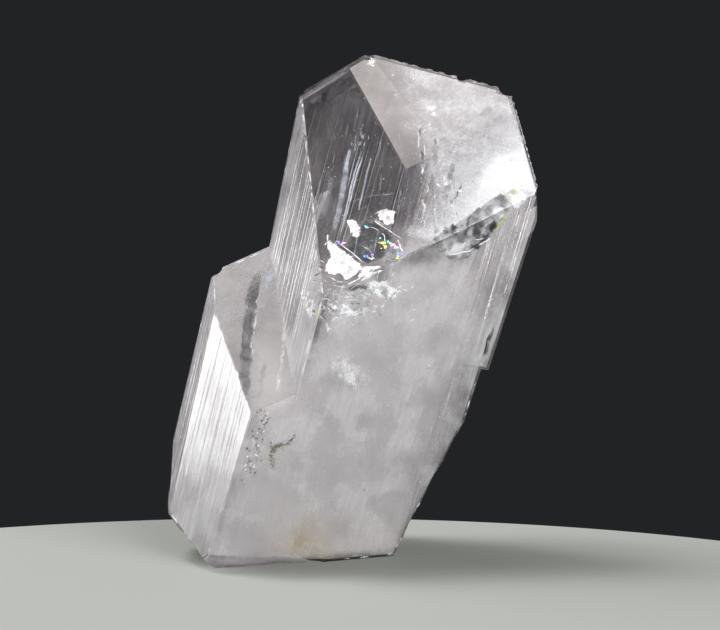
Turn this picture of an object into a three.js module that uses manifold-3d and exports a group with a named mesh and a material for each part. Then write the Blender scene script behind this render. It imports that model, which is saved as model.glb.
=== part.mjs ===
// A danburite specimen: two clear crystals grown side by side along one direction,
// joined in one solid and broken off at the root. Millimetres, +Z up. The pair leans to
// the right as it stands on its flat break, and -Y is its front.

import * as THREE from 'three';
import { ConvexGeometry } from 'three/addons/geometries/ConvexGeometry.js';
import { mergeVertices } from 'three/addons/utils/BufferGeometryUtils.js';
import Module from 'manifold-3d';

// How the pair stands, in degrees, and how far the crystals run on below the table
// before the break is cut, in millimetres.
const LEAN_RIGHT = 14;
const TURN_LEFT = 17;
const ROOT_LENGTH = 30;

// A face is a flat plane. "turn" goes round the long axis from the front towards the
// right and "tip" goes down from the long axis, in degrees. "out" is its distance from
// the middle of the large crystal's root, in millimetres.
const LARGE = {
  frontDome: { turn: 1.9, tip: 48.4, out: 33.87 },
  backDome: { turn: -179.6, tip: 57.6, out: 38.93 },
  leftSide: { turn: -53.5, tip: 91.3, out: 10.55 },
  frontSide: { turn: 46.8, tip: 95.9, out: 7.98 },
  rightSide: { turn: 133.1, tip: 90.8, out: 10.69 },
  backSide: { turn: -133.8, tip: 94.3, out: 8.48 },
};
const SMALL = {
  frontDome: { turn: -0.9, tip: 41.8, out: 25.54 },
  backDome: { turn: 179.0, tip: 56.0, out: 29.5 },
  leftSide: { turn: -43.5, tip: 89.8, out: 17.96 },
  narrowSide: { turn: -58.1, tip: 90.6, out: 18.29 },
  frontSide: { turn: 47.4, tip: 95.9, out: 7.84 },
  innerSide: { turn: 134.0, tip: 91.0, out: -3.0 },
  backSide: { turn: -133.4, tip: 90.0, out: 10.74 },
};

// A second skin grew over the large crystal's right side. It stops short of the top, and
// short of the root in a flat step.
const SKIN_THICKNESS = 1.0;
const SKIN = {
  frontDome: { ...LARGE.frontDome, out: LARGE.frontDome.out - 1.5 * SKIN_THICKNESS },
  backDome: { ...LARGE.backDome, out: LARGE.backDome.out - 2 * SKIN_THICKNESS },
  frontSide: { turn: 46.2, tip: 95.9, out: 7.9 },
  rightSide: { ...LARGE.rightSide, out: LARGE.rightSide.out + SKIN_THICKNESS },
  backSide: { ...LARGE.backSide, out: LARGE.backSide.out - 0.4 },
  shoulder: { turn: 107, tip: 76, out: 26.85 },
  step: { turn: 60, tip: 172, out: -24.7 },
  innerSide: { turn: -46.9, tip: 90, out: -4 },
};

// The broken faces round the root, in the same terms but measured upright from the
// table. "waves" is the height of their unevenness.
const BREAKS = [
  { turn: 98, tip: 117.3, out: 8.3, waves: 0.16 },
  { turn: -92, tip: 90, out: 16.6, waves: 0.2 },
  { turn: -86, tip: 133, out: 8.75, waves: 0.2 },
  { turn: 18, tip: 150, out: 4.1, waves: 0.25 },
];
const BREAK_CELL = 1.4;
const BREAK_SPAN = 56;
const BREAK_THICKNESS = 30;

// Grooves along a face: how many, the part of its width and length they lie in, and
// their greatest half width and depth.
const LARGE_GROOVES = [
  { on: LARGE.leftSide, count: 16, across: [-8, 9], along: [14, 54], width: 0.24, depth: 0.05 },
  { on: LARGE.backSide, count: 16, across: [-10, 9], along: [8, 60], width: 0.26, depth: 0.06 },
  { on: LARGE.rightSide, count: 9, across: [-8, 8], along: [-2, 26], width: 0.26, depth: 0.05 },
  { on: LARGE.frontSide, count: 6, across: [3, 9], along: [24, 46], width: 0.2, depth: 0.04 },
];
const SMALL_GROOVES = [
  { on: SMALL.leftSide, count: 18, across: [-3, 8], along: [-4, 28], width: 0.24, depth: 0.045 },
  { on: SMALL.narrowSide, count: 6, across: [-5, 1], along: [-2, 28], width: 0.2, depth: 0.045 },
  { on: SMALL.backSide, count: 12, across: [-12, 12], along: [-4, 34], width: 0.26, depth: 0.05 },
];
const SKIN_GROOVES = [
  { on: SKIN.frontSide, count: 1, across: [9.9, 10.5], along: [27.5, 34], width: 0.5, depth: 0.3 },
  { on: SKIN.rightSide, count: 12, across: [-8, 8], along: [26, 60], width: 0.26, depth: 0.05 },
];
const GROOVE_LENGTH = [9, 30];

// The part of an edge, from its start to its end, that small scoops are strung along.
const SCOOPED_SPAN = [0.03, 0.97];

const rad = THREE.MathUtils.degToRad;
const lerp = THREE.MathUtils.lerp;

const wasm = await Module();
wasm.setup();

// A repeatable stream of numbers from 0 to 1.
let seed = 41;
function chance() {
  seed = (seed * 16807) % 2147483647;
  return seed / 2147483647;
}

function between(low, high) {
  return lerp(low, high, chance());
}

// ---------- faces, corners and places on a face ----------

function normalOf(face) {
  const round = rad(face.turn);
  const down = rad(face.tip);
  return new THREE.Vector3(
    Math.sin(down) * Math.sin(round),
    -Math.sin(down) * Math.cos(round),
    Math.cos(down),
  );
}

// The corner where three faces meet, or nothing where they never do.
function corner(a, b, c) {
  const [na, nb, nc] = [a, b, c].map(normalOf);
  const size = na.dot(new THREE.Vector3().crossVectors(nb, nc));
  if (Math.abs(size) < 1e-5) return null;
  return new THREE.Vector3()
    .addScaledVector(new THREE.Vector3().crossVectors(nb, nc), a.out / size)
    .addScaledVector(new THREE.Vector3().crossVectors(nc, na), b.out / size)
    .addScaledVector(new THREE.Vector3().crossVectors(na, nb), c.out / size);
}

// A frame on a face: x across it, y up along the crystal, z straight out.
function frameOn(face) {
  const out = normalOf(face);
  const along = new THREE.Vector3(0, 0, 1).addScaledVector(out, -out.z).normalize();
  const across = new THREE.Vector3().crossVectors(along, out);
  return new THREE.Matrix4()
    .makeBasis(across, along, out)
    .setPosition(out.clone().multiplyScalar(face.out));
}

// ---------- solids ----------

function solidOf(geometry) {
  const bare = new THREE.BufferGeometry();
  bare.setAttribute('position', geometry.getAttribute('position'));
  if (geometry.index) bare.setIndex(geometry.index);
  const merged = mergeVertices(bare, 1e-5);
  return new wasm.Manifold(new wasm.Mesh({
    numProp: 3,
    vertProperties: new Float32Array(merged.getAttribute('position').array),
    triVerts: new Uint32Array(merged.index.array),
  }));
}

function geometryOf(solid) {
  const mesh = solid.getMesh();
  const geometry = new THREE.BufferGeometry();
  geometry.setAttribute('position', new THREE.BufferAttribute(mesh.vertProperties, 3));
  geometry.setIndex(new THREE.BufferAttribute(mesh.triVerts, 1));
  return geometry;
}

function cutAll(solid, cutters) {
  return cutters.reduce((left, cutter) => left.subtract(cutter), solid);
}

// The closed block inside a set of faces.
function blockInside(faces) {
  const corners = [];
  for (let i = 0; i < faces.length; i += 1) {
    for (let j = i + 1; j < faces.length; j += 1) {
      for (let k = j + 1; k < faces.length; k += 1) {
        const point = corner(faces[i], faces[j], faces[k]);
        const inside = (face) => normalOf(face).dot(point) < face.out + 1e-6;
        if (point && faces.every(inside)) corners.push(point);
      }
    }
  }
  return solidOf(new ConvexGeometry(corners));
}

// A shallow scoop where a splinter came off: "bite" deep below the point, and the
// larger the radius the flatter it is.
function scoop(point, outward, radius, bite) {
  const ball = new THREE.IcosahedronGeometry(radius, 2);
  ball.rotateX(between(0, Math.PI));
  ball.rotateZ(between(0, Math.PI));
  const centre = point.clone().addScaledVector(outward.clone().normalize(), radius - bite);
  return solidOf(ball.translate(centre.x, centre.y, centre.z));
}

// Scoops strung along the edge between two faces, from one corner towards another.
function edgeScoops({ faces, from, to, count, radius, bite }) {
  const outward = normalOf(faces[0]).add(normalOf(faces[1]));
  return Array.from({ length: count }, (_, i) => {
    const place = lerp(...SCOOPED_SPAN, (i + between(0.1, 0.9)) / count);
    const size = between(0.5, 1.3);
    return scoop(from.clone().lerp(to, place), outward, radius * size, bite * size);
  });
}

// A groove that fades out at both ends, lying along a face.
function groove(face, across, along, halfLength, halfWidth, depth) {
  const splinter = new THREE.OctahedronGeometry(1);
  splinter.scale(halfWidth, halfLength, depth);
  splinter.translate(across, along, 0);
  return solidOf(splinter.applyMatrix4(frameOn(face)));
}

function groovesOn({ on, count, across, along, width, depth }) {
  return Array.from({ length: count }, (_, i) => {
    const half = Math.min(between(...GROOVE_LENGTH), (along[1] - along[0]) / 2);
    const middle = between(along[0] + half, along[1] - half);
    const place = lerp(...across, (i + between(0.15, 0.85)) / count);
    const size = between(0.45, 1);
    return groove(on, place, middle, half, width * size, depth * size);
  });
}

function grooved(crystal, sets) {
  return cutAll(crystal, sets.flatMap(groovesOn));
}

// The block beyond a broken face, with the face's own uneven surface.
function beyondBreak(face) {
  const cells = Math.round(BREAK_SPAN / BREAK_CELL);
  const block = new THREE.BoxGeometry(
    BREAK_SPAN, BREAK_SPAN, BREAK_THICKNESS, cells, cells, 1,
  ).translate(0, 0, BREAK_THICKNESS / 2);
  const places = block.getAttribute('position');
  for (let i = 0; i < places.count; i += 1) {
    if (places.getZ(i) > 1) continue;
    const [x, y] = [places.getX(i), places.getY(i)];
    const broad = Math.sin(0.42 * x + 0.9 * Math.sin(0.31 * y + face.turn));
    const fine = Math.sin(1.1 * y + 1.7 * Math.sin(0.8 * x)) * 0.5;
    const grain = Math.sin(2.3 * x + 3.1 * y) * 0.25;
    places.setZ(i, face.waves * (broad + fine + grain));
  }
  return solidOf(block.applyMatrix4(frameOn(face)));
}

// ---------- the two crystals ----------

const ROOT_END = { turn: 0, tip: 180, out: ROOT_LENGTH };
const large = grooved(blockInside([...Object.values(LARGE), ROOT_END]), LARGE_GROOVES);
const small = grooved(blockInside([...Object.values(SMALL), ROOT_END]), SMALL_GROOVES);
const skin = grooved(blockInside(Object.values(SKIN)), SKIN_GROOVES);

const top = corner(LARGE.frontDome, LARGE.backDome, LARGE.backSide);
const rightTop = corner(LARGE.frontDome, LARGE.backDome, LARGE.rightSide);
const leftTop = corner(LARGE.frontDome, LARGE.leftSide, LARGE.backSide);
const rightShoulder = corner(LARGE.frontDome, LARGE.frontSide, LARGE.rightSide);
const frontPoint = corner(LARGE.frontDome, LARGE.leftSide, LARGE.frontSide);
const smallLeftTop = corner(SMALL.frontDome, SMALL.narrowSide, SMALL.backSide);
const smallPoint = corner(SMALL.frontDome, SMALL.leftSide, SMALL.frontSide);

const UP = new THREE.Vector3(0, 0, 1);
const RIGHT = new THREE.Vector3(1, 0, 0);
const LEFT = new THREE.Vector3(-1, 0, 0);
const FRONT = new THREE.Vector3(0, -1, 0);

const damage = [
  // Along the top edge, with one deep nick.
  ...edgeScoops({
    faces: [LARGE.frontDome, LARGE.backDome],
    from: top, to: rightTop, count: 13, radius: 0.9, bite: 0.16,
  }),
  scoop(top.clone().lerp(rightTop, 0.66), UP, 0.7, 0.6),
  scoop(top, UP, 1.1, 0.4),
  scoop(rightTop.clone().lerp(top, 0.04), RIGHT.clone().add(UP), 1.5, 0.8),
  // Down the right edge of the front dome.
  ...edgeScoops({
    faces: [LARGE.frontDome, LARGE.rightSide],
    from: rightTop, to: rightShoulder, count: 12, radius: 0.7, bite: 0.2,
  }),
  scoop(rightShoulder, RIGHT, 1.3, 0.5),
  // Down its left edge.
  scoop(leftTop, LEFT.clone().add(UP), 0.9, 0.4),
  ...edgeScoops({
    faces: [LARGE.frontDome, LARGE.leftSide],
    from: leftTop, to: frontPoint, count: 8, radius: 0.5, bite: 0.12,
  }),
  scoop(frontPoint, FRONT, 1.2, 0.35),
  // On the small crystal.
  scoop(smallLeftTop, LEFT.clone().add(UP), 1.8, 0.7),
  scoop(smallPoint, FRONT, 0.7, 0.15),
];

const pair = cutAll(large.add(small).add(skin), damage);

// ---------- standing on the break ----------

const stand = new THREE.Matrix4()
  .makeRotationY(rad(LEAN_RIGHT))
  .multiply(new THREE.Matrix4().makeRotationZ(rad(-TURN_LEFT)));

const underTable = solidOf(new THREE.BoxGeometry(200, 200, 100).translate(0, 0, -50));
const standing = cutAll(
  solidOf(geometryOf(pair).applyMatrix4(stand)),
  [...BREAKS.map(beyondBreak), underTable],
);

// The origin is on the table under the middle of the whole pair.
const shape = geometryOf(standing);
shape.computeBoundingBox();
const { min, max } = shape.boundingBox;
shape.translate(-(min.x + max.x) / 2, -(min.y + max.y) / 2, -min.z);

const crystal = new THREE.Mesh(
  shape,
  new THREE.MeshStandardMaterial({ color: 0xd8ced4, roughness: 0.08, metalness: 0 }),
);
crystal.name = 'danburite_crystal';

const object = new THREE.Group();
object.add(crystal);

export default object;
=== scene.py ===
"""The looks of a danburite specimen: two clear crystals grown side by side, milky and
cracked inside, standing on their broken root. Metres, +Z up, -Y is the front."""

import itertools
import random
from math import cos, hypot, radians, sin, tau

import bmesh
import bpy
import numpy as np
from mathutils import Matrix, Vector, noise
from mathutils.bvhtree import BVHTree


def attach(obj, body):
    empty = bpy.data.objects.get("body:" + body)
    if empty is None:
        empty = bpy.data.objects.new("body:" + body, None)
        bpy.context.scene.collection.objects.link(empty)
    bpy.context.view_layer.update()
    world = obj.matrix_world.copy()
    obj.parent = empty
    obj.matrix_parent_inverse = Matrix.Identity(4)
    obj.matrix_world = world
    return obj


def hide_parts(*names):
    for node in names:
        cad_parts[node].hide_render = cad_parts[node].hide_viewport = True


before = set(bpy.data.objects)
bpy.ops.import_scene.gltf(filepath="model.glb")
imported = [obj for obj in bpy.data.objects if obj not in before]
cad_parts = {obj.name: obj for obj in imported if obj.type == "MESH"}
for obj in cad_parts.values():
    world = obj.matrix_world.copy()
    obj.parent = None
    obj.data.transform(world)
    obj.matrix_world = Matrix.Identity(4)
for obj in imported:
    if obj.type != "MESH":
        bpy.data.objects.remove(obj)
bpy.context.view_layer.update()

MM = 0.001
UP = Vector((0, 0, 1))
SPECIMEN = "danburite_crystal"
chance = random.Random(11)
between = chance.uniform

# How the pair stands, in degrees, and where the large crystal's root lies on the table.
LEAN_RIGHT = 14.0
TURN_LEFT = 17.0
ROOT_AT = Vector((-4.993, 0.539, 0.0)) * MM
UPRIGHT = (
    Matrix.Rotation(radians(LEAN_RIGHT), 3, "Y")
    @ Matrix.Rotation(radians(-TURN_LEFT), 3, "Z")
)

# A face of a crystal: degrees round the long axis from the front, degrees down from the
# axis, and millimetres out from the middle of the large crystal's root.
LARGE = {
    "front_dome": (1.9, 48.4, 33.87),
    "back_dome": (-179.6, 57.6, 38.93),
    "left_side": (-53.5, 91.3, 10.55),
    "front_side": (46.8, 95.9, 7.98),
    "right_side": (133.1, 90.8, 10.69),
    "back_side": (-133.8, 94.3, 8.48),
}
SMALL = {
    "front_dome": (-0.9, 41.8, 25.54),
    "back_dome": (179.0, 56.0, 29.5),
    "left_side": (-43.5, 89.8, 17.96),
    "narrow_side": (-58.1, 90.6, 18.29),
    "front_side": (47.4, 95.9, 7.84),
    "inner_side": (134.0, 91.0, -3.0),
    "back_side": (-133.4, 90.0, 10.74),
}
# The second skin over the large crystal's right side, and where it stops.
SKIN = {
    "front_dome": (1.9, 48.4, 32.37),
    "back_dome": (-179.6, 57.6, 36.93),
    "front_side": (46.2, 95.9, 7.9),
    "right_side": (133.1, 90.8, 11.69),
    "back_side": (-133.8, 94.3, 8.08),
    "shoulder": (107, 76, 26.85),
    "step": (60, 172, -24.7),
}
# The broken faces round the root, in the same terms but upright from the table.
BREAKS = [(98, 117.3, 8.3), (-92, 90, 16.6), (-86, 133, 8.75), (18, 150, 4.1)]

# How far under its face a piece or kind of piece lies, in millimetres, if not usual.
# Sheets that overlap never share a depth, since they'd show through each other in specks.
USUAL_DEPTH = 0.2
DEPTH = {
    "edge_bruises_and_highlights": 0.12, "crack_shell_glint": 0.15, "haze_step_wall": 0.16,
    "crack_shell_lines": 0.17, "small_left_lines": 0.18, "crack_lower_lines": 0.185,
    "body_specks_dark": 0.22, "small_dome_streaks": 0.22, "body_specks_bright": 0.24,
    "dome_spots": 0.26, "brown_stain": 0.26, "corner_bruises": 0.27, "crack_lower": 0.28,
    "dome_veins": 0.28, "crack_shell": 0.29, "dome_rim_glare": 0.3, "frosty_cloud": 0.3,
    "films_shell": 0.32, "mossy_inclusion": 0.33, "haze": 0.35, "films_lower": 0.36,
    "haze_back_strip": 0.47, "growth_streaks": 1.2,
}
# How near to the faces round it some of them may come, in millimetres.
MARGIN = {"crack_upper": 0.75, "crack_upper_lines": 0.65, "films_upper": 0.55,
          "growth_streaks": 0.9, "haze": 0.3}
# How far under the broken faces the clouding stops.
ROOT_INSET = 0.5

# How far in from the right side the hazes of the second skin reach.
SKIN_REACH = (133.1, 90.8, 6.9)
# The way the shallow cracks face: degrees round the long axis, down from it, and rolled.
FRONT_VIEW, FRONT_ROLL = (14.0, 88.8), 14.1
# Where the pinkish veil under the back dome ends, down the back side.
VEIL_EDGE = ((-12.0, 6.04, 57.66), (-2.68, 14.05, 41.98), (1.0, 15.5, 44.5))
DOME, FRONT = (LARGE, "front_dome"), (LARGE, "front_side")
SMALL_DOME, SMALL_LEFT = (SMALL, "front_dome"), (SMALL, "left_side")

# The clouding gets thinner along this way, and ends about this far along it, in metres.
CLOUDING_WAY = (-0.62, 0.10, 1.0)
CLOUDING_TOP, CLOUDING_SWAY = 0.0275, 0.02

IOR = 1.63
ABSORPTION_COLOUR, ABSORPTION_DENSITY = (0.97, 0.92, 0.94, 1), 30.0
MATT = {"Roughness": 0.9, "Specular IOR Level": 0.0}

# What the points of painted sheets hold, and the sizes that the grain pattern takes.
PAINTED = ("cover", "bright")
GRAIN_SIZES = ("Streak Width", "Fleck Size", "Patch Size")

# A way to look along when counting how many times the solid's surface is crossed.
PROBE = Vector((0.31, -0.17, 0.93)).normalized()
PROBE_STEP = 1e-7

FLOOR_RADIUS, FLOOR_THICKNESS, FLOOR_MIDDLE = 0.085, 0.006, (-0.008, -0.058, 0)
CAMERA_AT = Vector((1.007, -306.230, 50.046)) * MM
CAMERA_TILT, CAMERA_LENS = 86, 127.75


# ---------- drawings ----------


def places(text):
    """Places written as "x,y x,y"."""
    return [tuple(map(float, word.split(","))) for word in text.split()]


def drawn(text):
    """Rows of numbers and then places, as lists of the places and then the numbers."""
    rows = []
    for word in text.split():
        if "," in word:
            rows[-1][0].extend(places(word))
        elif rows and not rows[-1][0]:
            rows[-1].append(float(word))
        else:
            rows.append([[], float(word)])
    return rows


# ---------- places ----------


def normal_of(face):
    turn, tip = radians(face[0]), radians(face[1])
    return Vector((sin(tip) * sin(turn), -sin(tip) * cos(turn), cos(tip)))


def ways_of(face):
    """The ways out of a face, up along it and to its right, in the crystals' own frame."""
    out = normal_of(face)
    up = (UP - out * out.z).normalized()
    return out, up, up.cross(out)


def standing(point):
    """A point of the crystals' own frame, in millimetres, as it stands on the table."""
    return UPRIGHT @ Vector(point) * MM + ROOT_AT


def level(face, under):
    """The middle of a plane that far under a face, and its ways, as they stand."""
    ways = ways_of(face)
    return standing(ways[0] * (face[2] - under)), *(UPRIGHT @ way for way in ways)


def to_face(face, point):
    """The place across and along a face that is nearest to a point of the crystals' frame."""
    _, up, side = ways_of(face)
    return Vector((Vector(point).dot(side), Vector(point).dot(up)))


def plane_of(face, inset=0.0):
    """A crystal face as it stands: its normal and its distance from the origin."""
    out = UPRIGHT @ normal_of(face)
    return out, (face[2] - inset) * MM + out.dot(ROOT_AT)


def root_planes(inset):
    """The broken faces and the table, drawn in by an inset."""
    normals = [normal_of(face) for face in BREAKS]
    planes = [
        (out, (face[2] - inset) * MM + out.dot(ROOT_AT)) for out, face in zip(normals, BREAKS)
    ]
    return planes + [(-UP, -inset * MM)]


def under_plane(face, point):
    """How far a standing point is under a face, in millimetres."""
    normal, distance = plane_of(face)
    return (distance - point.dot(normal)) / MM


def within(crystal, point, margin):
    """Whether a standing point lies inside a crystal, at least a margin from its faces."""
    planes = (plane_of(face, margin) for face in crystal.values())
    return all(normal.dot(point) < distance for normal, distance in planes)


def depth_of(name):
    return DEPTH.get(name, USUAL_DEPTH)


def under_face(crystal, side, under):
    """A way to stand places that lie across and along a face, that far under it."""
    middle, out, up, across = level(crystal[side], under)
    return lambda x, y, rise=0.0: middle + (across * x + up * y + out * rise) * MM


def stand_for(name, where):
    """The way to stand a piece's places: as given, or under a face at the piece's depth."""
    return where if callable(where) else under_face(*where, depth_of(name))


def on_crack(middle, turn, tip, roll):
    """A way to stand places on a flat crack, from its middle in the crystals' frame."""
    out, up, side = ways_of((turn, tip))
    spin = Matrix.Rotation(radians(roll), 3, out)
    side, up = spin @ side, spin @ up
    return lambda x, y, rise=0.0: standing(Vector(middle) + side * x + up * y + out * rise)


def kept_inside(stand, crystal, margin):
    """The same places, but none nearer to a face of the crystal than a margin."""
    planes = [plane_of(face, margin) for face in crystal.values()]

    def placed(x, y, rise=0.0):
        point = stand(x, y, rise)
        for normal, distance in planes:
            point -= normal * max(0.0, point.dot(normal) - distance)
        return point

    return placed


def just_under(middle, sides, under):
    """A way to stand places seen from the front, slid outwards until they lie just under
    the nearest of the large crystal's sides."""
    flat = on_crack(middle, *FRONT_VIEW, FRONT_ROLL)
    way = UPRIGHT @ normal_of(FRONT_VIEW)
    planes = [plane_of(LARGE[side], under) for side in sides]

    def placed(x, y, rise=0.0):
        point = flat(x, y)
        slide = min((out - point.dot(normal)) / way.dot(normal) for normal, out in planes)
        return point + way * (slide + rise * MM)

    return kept_inside(placed, LARGE, 0.1)


# ---------- shares from 0 to 1 ----------


def ease(amount):
    amount = min(1.0, max(0.0, amount))
    return amount * amount * (3 - 2 * amount)


def ramp(x, y, start, way, width):
    """0 before a line through start, 1 at its width beyond it, in that way."""
    length = hypot(*way)
    return ease(((x - start[0]) * way[0] + (y - start[1]) * way[1]) / length / width)


def blob(x, y, centre, radii, turn=0.0):
    """1 in the middle of an oval, 0 at its rim. Its long way is turned from across."""
    c, s = cos(radians(turn)), sin(radians(turn))
    dx, dy = x - centre[0], y - centre[1]
    u, v = (dx * c + dy * s) / radii[0], (dy * c - dx * s) / radii[1]
    return ease(1 - hypot(u, v))


def looped(items):
    """Each item with the one after it, and the last with the first."""
    return zip(items, items[1:] + items[:1])


def inside(x, y, corners, soft=0.01):
    """1 well inside a polygon, 0 well outside, easing over a soft width at its rim."""
    contained, nearest = False, 1e9
    for (ax, ay), (bx, by) in looped(corners):
        if (ay > y) != (by > y) and x < (bx - ax) * (y - ay) / (by - ay) + ax:
            contained = not contained
        length = (bx - ax) ** 2 + (by - ay) ** 2
        t = min(1.0, max(0.0, ((x - ax) * (bx - ax) + (y - ay) * (by - ay)) / length))
        nearest = min(nearest, hypot(x - ax - t * (bx - ax), y - ay - t * (by - ay)))
    return ease(0.5 + (nearest if contained else -nearest) / soft)


def ripple(x, y, pace, seed):
    """Smooth noise from -1 to 1 that changes over 1 / pace millimetres."""
    return noise.noise((x * pace, y * pace, seed))


def layered(marks, x, y, ragged, size):
    """Cover and brightness at a place where marks lie one over another. A mark is its
    corners, the softness of its rim, how much it covers and how bright it is."""
    wave = Vector((x / size, y / size, 0.0))
    fine = wave * 2.7
    x += ragged * (noise.noise(wave) + 0.5 * noise.noise(fine))
    y += ragged * (
        noise.noise(wave + Vector((9, 5, 2))) + 0.5 * noise.noise(fine + Vector((3, 1, 4)))
    )
    cover, bright = 0.0, 0.5
    for corners, soft, hides, tone in marks:
        share = hides * inside(x, y, corners, soft)
        total = share + cover * (1 - share)
        if total > 1e-4:
            bright = (tone * share + bright * cover * (1 - share)) / total
        cover = total
    return cover, bright


def crumbly(marks, x, y, ragged, size):
    """The same, with the crumbs and gaps of a frosted crack's wall."""
    cover, bright = layered(marks, x, y, ragged, size)
    coarse = ripple(x, y, 3.3, 2.0)
    crumbs = coarse + 0.7 * ripple(x, y, 7.5, 4.0)
    return cover * (1 - 0.5 * ease(-0.2 - crumbs)), bright * (0.84 + 0.5 * crumbs)


# ---------- meshes ----------


def stands_out(point):
    """Whether a point is out of the solid: the way from it crosses the surface evenly."""
    crossings = 0
    hit = SOLID.ray_cast(point, PROBE)[0]
    while hit is not None:
        crossings += 1
        hit = SOLID.ray_cast(hit + PROBE * PROBE_STEP, PROBE)[0]
    return crossings % 2 == 0


def trim(bm):
    """Takes away what would stand out of the solid where its edges are chipped."""
    out = []
    for vert in bm.verts:
        place, normal, _, _ = SOLID.find_nearest(vert.co)
        if (vert.co - place).dot(normal) > 0 and stands_out(vert.co):
            out.append(vert)
    bmesh.ops.delete(bm, geom=out, context="VERTS")
    loose = [vert for vert in bm.verts if not vert.link_faces]
    bmesh.ops.delete(bm, geom=loose, context="VERTS")


def in_scene(name, data):
    made = bpy.data.objects.new(name, data)
    bpy.context.scene.collection.objects.link(made)
    return made


def object_from(bm, name):
    mesh = bpy.data.meshes.new(name)
    bm.to_mesh(mesh)
    bm.free()
    return in_scene(name, mesh)


def piece_from(bm, name, materials, slot, smooth=False):
    if slot != "crystal":
        trim(bm)
    piece = object_from(bm, name)
    piece.data.polygons.foreach_set("use_smooth", [smooth] * len(piece.data.polygons))
    for material in materials:
        piece.data.materials.append(material)
    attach(piece, "root")
    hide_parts(SPECIMEN)
    if slot != "clouding":
        piece.visible_shadow = False
    return piece


def value_layers(bm, keys=PAINTED):
    """New layers of numbers on the mesh's points."""
    for key in keys:
        bm.verts.layers.float.new(key)
    return [bm.verts.layers.float[key] for key in keys]


def block_inside(planes):
    """The closed block inside a set of planes, as the hull of its corners."""
    normals = np.array([tuple(normal) for normal, _ in planes])
    outs = np.array([out for _, out in planes])
    bm = bmesh.new()
    for trio in itertools.combinations(range(len(planes)), 3):
        matrix = normals[list(trio)]
        if abs(np.linalg.det(matrix)) < 1e-5:
            continue
        corner = np.linalg.solve(matrix, outs[list(trio)])
        if (normals @ corner <= outs + 1e-9).all():
            bm.verts.new(corner)
    bmesh.ops.convex_hull(bm, input=bm.verts)
    bmesh.ops.remove_doubles(bm, verts=bm.verts, dist=1e-6)
    return bm


def pair_inside(inset):
    """Both crystals drawn in by an inset, as one bmesh of two blocks. At the root they
    reach almost to the broken faces."""
    both = bmesh.new()
    for crystal in (LARGE, SMALL):
        planes = [plane_of(face, inset) for face in crystal.values()]
        block = block_inside(planes + root_planes(ROOT_INSET))
        mesh = bpy.data.meshes.new("block")
        block.to_mesh(mesh)
        block.free()
        both.from_mesh(mesh)
        bpy.data.meshes.remove(mesh)
    return both


def evened(bm, voxel):
    """The bmesh made into one skin of even cells."""
    lump = object_from(bm, "lump")
    mesh = lump.data
    remesh = lump.modifiers.new("cells", "REMESH")
    remesh.mode = "VOXEL"
    remesh.voxel_size = voxel
    result = bmesh.new()
    result.from_object(lump, bpy.context.evaluated_depsgraph_get())
    bpy.data.objects.remove(lump)
    bpy.data.meshes.remove(mesh)
    return result


def clipped(outline, point, way):
    """The part of an outline that isn't beyond a point in that way."""
    kept = []
    for here, there in looped(outline):
        a, b = ((p - point).dot(way) for p in (here, there))
        if a <= 0:
            kept.append(here)
        if (a < 0) != (b < 0) and a != b:
            kept.append(here.lerp(there, a / (a - b)))
    return kept


def outline_on(crystal, name, under, margin, beyond=None):
    """The outline, across and along, of a plane that lies under a face, short of every
    other face by a margin, and only beyond another face if that's given."""
    middle, _, up, side = level(crystal[name], under)
    outline = [Vector(corner) for corner in places("-60,-60 60,-60 60,60 -60,60")]
    others = [plane_of(other, margin) for key, other in crystal.items() if key != name]
    others += root_planes(margin)
    if beyond:
        normal, distance = plane_of(beyond)
        others.append((-normal, -distance))
    for normal, distance in others:
        way = Vector((normal.dot(side), normal.dot(up)))
        gap = (distance - normal.dot(middle)) / MM
        if way.length >= 1e-4:
            outline = clipped(outline, way * (gap / way.length_squared), way)
    return outline


def painted_sheet(name, where, outline, paint, material, slot, cell=0.5, relief=None):
    """A thin sheet of fine cells in a convex outline. Paint says how much it covers and how
    bright it is at each place; relief lifts it off its plane, in millimetres."""
    stand = stand_for(name, where)
    outline = [Vector(p) for p in outline]
    low = [min(p[i] for p in outline) for i in (0, 1)]
    high = [max(p[i] for p in outline) for i in (0, 1)]
    size = [high[i] - low[i] for i in (0, 1)]
    parts = [max(1, round(length / cell)) for length in size]
    bm = bmesh.new()
    bmesh.ops.create_grid(bm, x_segments=parts[0], y_segments=parts[1], size=0.5)
    for vert in bm.verts:
        vert.co.x = low[0] + (vert.co.x + 0.5) * size[0]
        vert.co.y = low[1] + (vert.co.y + 0.5) * size[1]
    for here, there in looped(outline):
        along = (there - here).normalized()
        bmesh.ops.bisect_plane(
            bm, geom=bm.verts[:] + bm.edges[:] + bm.faces[:],
            plane_co=(*here, 0), plane_no=(along.y, -along.x, 0), clear_outer=True,
        )
    layers = value_layers(bm)
    for vert in bm.verts:
        x, y, _ = vert.co
        for layer, value in zip(layers, paint(x, y)):
            vert[layer] = min(1.0, max(0.0, value))
        vert.co = stand(x, y, relief(x, y) if relief else 0.0)
    return piece_from(bm, name, [material], slot, smooth=True)


def stroke_path(points, step, wobble):
    """A line through points in even steps, a little unsteady."""
    points = [Vector(p) for p in points]
    path = []
    for here, there in zip(points, points[1:]):
        parts = max(1, round((there - here).length / step))
        path += [here.lerp(there, i / parts) for i in range(parts)]
    path.append(points[-1])
    steady = path[:]
    for i, point in enumerate(path[1:-1], 1):
        steady[i] = (path[i - 1] + point * 2 + path[i + 1]) / 4
    return [
        p + wobble * Vector((noise.noise((p.x, p.y, 4.1)), noise.noise((p.x, p.y, 8.7))))
        for p in steady
    ]


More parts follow.
